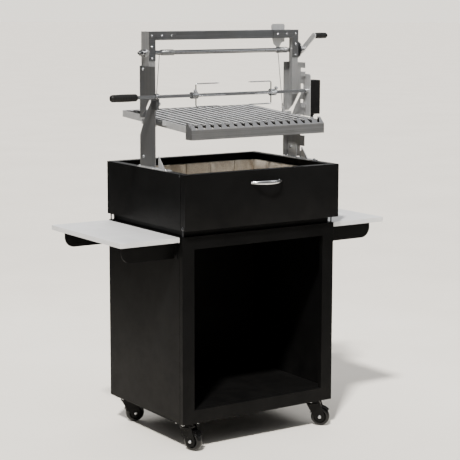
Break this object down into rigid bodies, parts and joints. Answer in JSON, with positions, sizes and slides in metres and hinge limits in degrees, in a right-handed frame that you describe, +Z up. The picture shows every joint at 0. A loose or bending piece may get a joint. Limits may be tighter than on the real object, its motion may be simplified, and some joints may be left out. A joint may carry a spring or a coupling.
{
  "type": "rotisserie spit roaster",
  "caption": "Charcoal grill cart with a crank-lifted V-bar grate, a motor-driven spit with forks, a brick-lined firebox with a drop-down door, side shelves and castors.",
  "frame": {"origin": "floor level, at the centre of the bounding box in plan", "axes": "+Z up, -Y towards the cook (the door and open wood store), +X to the crank and motor side"},
  "size_m": [1.202, 0.607, 1.576],
  "materials": {
    "powder_coat": "satin black powder coat",
    "steel_brushed": "brushed stainless steel",
    "steel_pale": "finely brushed pale stainless steel",
    "steel_bright": "polished stainless steel",
    "firebrick": "rough cream firebrick",
    "bush_bronze": "dull",
    "grip_black": "matt heat-proof plastic",
    "motor_black": "fine-grained black",
    "castor_metal": "gloss black",
    "castor_tread": "gloss black, lightly worn"
  },
  "bodies": {
    "cart": {"cart_front_frame": "powder_coat", "cart_side_panels": "powder_coat", "cart_back_panel": "powder_coat", "cart_floor": "powder_coat", "cart_base": "powder_coat", "cart_top": "powder_coat", "cart_bolts": "steel_bright", "shelf_left": "steel_pale", "shelf_right": "steel_pale", "shelf_brackets": "powder_coat", "firebox_plinth": "powder_coat", "firebox_body": "powder_coat", "firebrick_floor": "firebrick", "firebrick_walls": "firebrick", "door_pins": "steel_bright", "upright_feet": "steel_brushed", "upright_plate_left": "steel_brushed", "upright_plate_right": "steel_brushed", "upright_posts": "steel_brushed", "crossbar": "steel_brushed", "corner_plates": "steel_brushed", "frame_bolts": "steel_bright", "winch_bushes": "bush_bronze", "castor_plates": "castor_metal"},
    "door": {"firebox_door": "powder_coat", "door_handle": "steel_bright"},
    "winch": {"winch_shaft": "steel_bright", "winch_nuts": "steel_bright", "cable_windings": "steel_bright", "crank_arm": "steel_brushed"},
    "grip": {"crank_grip": "grip_black"},
    "brake": {"brake_plate": "steel_brushed"},
    "grate": {"grate_sides": "steel_brushed", "grate_bars": "steel_brushed", "grate_rear_rail": "steel_brushed", "grate_front_rail": "steel_brushed", "grease_trough": "steel_brushed", "grate_guides": "steel_brushed", "lift_cables": "steel_bright"},
    "motor": {"motor_bracket": "steel_brushed", "motor_housing": "motor_black", "motor_gland": "motor_black"},
    "spit": {"drive_socket": "steel_bright", "spit_rod": "steel_bright", "spit_bush": "steel_bright", "spit_handle": "grip_black"},
    "left_fork": {"fork_left": "steel_bright"},
    "left_fork_screw": {"fork_left_screw": "steel_bright"},
    "right_fork": {"fork_right": "steel_bright"},
    "right_fork_screw": {"fork_right_screw": "steel_bright"},
    "support": {"spit_support": "steel_brushed"},
    "support_screw": {"support_knob": "steel_bright"},
    "castor_fl": {"castor_fork_fl": "castor_metal"},
    "wheel_fl": {"castor_wheel_fl": "castor_tread"},
    "castor_fr": {"castor_fork_fr": "castor_metal"},
    "wheel_fr": {"castor_wheel_fr": "castor_tread"},
    "castor_bl": {"castor_fork_bl": "castor_metal"},
    "wheel_bl": {"castor_wheel_bl": "castor_tread"},
    "castor_br": {"castor_fork_br": "castor_metal"},
    "wheel_br": {"castor_wheel_br": "castor_tread"}
  },
  "joints": [
    {"name": "door_drop", "type": "hinge", "parent": "cart", "child": "door", "pos_m": [0, -0.25, 0.848], "axis": [1, 0, 0], "range_deg": [0, 90]},
    {"name": "grate_lift", "type": "slide", "parent": "cart", "child": "grate", "axis": [0, 0, 1], "range_m": [-0.1, 0.02], "deforming": ["lift_cables"]},
    {"name": "crank_turn", "type": "hinge", "parent": "cart", "child": "winch", "pos_m": [0, 0.02, 1.474], "axis": [1, 0, 0], "range_deg": [-580, 120]},
    {"name": "grip_spin", "type": "hinge", "parent": "winch", "child": "grip", "pos_m": [0.415, -0.05171, 1.53003], "axis": [1, 0, 0], "continuous": true},
    {"name": "brake_raise", "type": "slide", "parent": "cart", "child": "brake", "axis": [0, 0, 1], "range_m": [0, 0.015]},
    {"name": "motor_unhook", "type": "slide", "parent": "cart", "child": "motor", "axis": [0, -0.8192, 0.5736], "range_m": [0, 0.08]},
    {"name": "spit_spin", "type": "hinge", "parent": "motor", "child": "spit", "pos_m": [0, -0.062, 1.316], "axis": [1, 0, 0], "continuous": true},
    {"name": "left_fork_slide", "type": "slide", "parent": "spit", "child": "left_fork", "axis": [1, 0, 0], "range_m": [-0.11, 0.06]},
    {"name": "left_screw_turn", "type": "hinge", "parent": "left_fork", "child": "left_fork_screw", "pos_m": [-0.185, -0.062, 1.316], "axis": [0, -0.7071, 0.7071], "range_deg": [0, 180]},
    {"name": "right_fork_slide", "type": "slide", "parent": "spit", "child": "right_fork", "axis": [1, 0, 0], "range_m": [-0.06, 0.11]},
    {"name": "right_screw_turn", "type": "hinge", "parent": "right_fork", "child": "right_fork_screw", "pos_m": [0.185, -0.062, 1.316], "axis": [0, -0.7071, 0.7071], "range_deg": [0, 180]},
    {"name": "support_slide", "type": "slide", "parent": "cart", "child": "support", "axis": [0, 0, 1], "range_m": [-0.2, 0]},
    {"name": "support_screw_turn", "type": "hinge", "parent": "support", "child": "support_screw", "pos_m": [-0.33, -0.04, 1.288], "axis": [1, 0, 0], "range_deg": [0, 360]},
    {"name": "swivel_fl", "type": "hinge", "parent": "cart", "child": "castor_fl", "pos_m": [-0.296, -0.192, 0.09], "axis": [0, 0, 1], "continuous": true},
    {"name": "roll_fl", "type": "hinge", "parent": "castor_fl", "child": "wheel_fl", "pos_m": [-0.28642, -0.21831, 0.0375], "axis": [0.9397, 0.342, 0], "continuous": true},
    {"name": "swivel_fr", "type": "hinge", "parent": "cart", "child": "castor_fr", "pos_m": [0.296, -0.192, 0.09], "axis": [0, 0, 1], "continuous": true},
    {"name": "roll_fr", "type": "hinge", "parent": "castor_fr", "child": "wheel_fr", "pos_m": [0.31545, -0.21214, 0.0375], "axis": [0.7193, 0.6947, 0], "continuous": true},
    {"name": "swivel_bl", "type": "hinge", "parent": "cart", "child": "castor_bl", "pos_m": [-0.296, 0.252, 0.09], "axis": [0, 0, 1], "continuous": true},
    {"name": "roll_bl", "type": "hinge", "parent": "castor_bl", "child": "wheel_bl", "pos_m": [-0.26937, 0.24335, 0.0375], "axis": [0.309, 0.9511, 0], "continuous": true},
    {"name": "swivel_br", "type": "hinge", "parent": "cart", "child": "castor_br", "pos_m": [0.296, 0.252, 0.09], "axis": [0, 0, 1], "continuous": true},
    {"name": "roll_br", "type": "hinge", "parent": "castor_br", "child": "wheel_br", "pos_m": [0.29114, 0.22443, 0.0375], "axis": [0.9848, -0.1736, 0], "continuous": true}
  ],
  "couplings": [
    {"joint": "crank_turn", "follows": "grate_lift", "rad_per_m": 99.502}
  ]
}
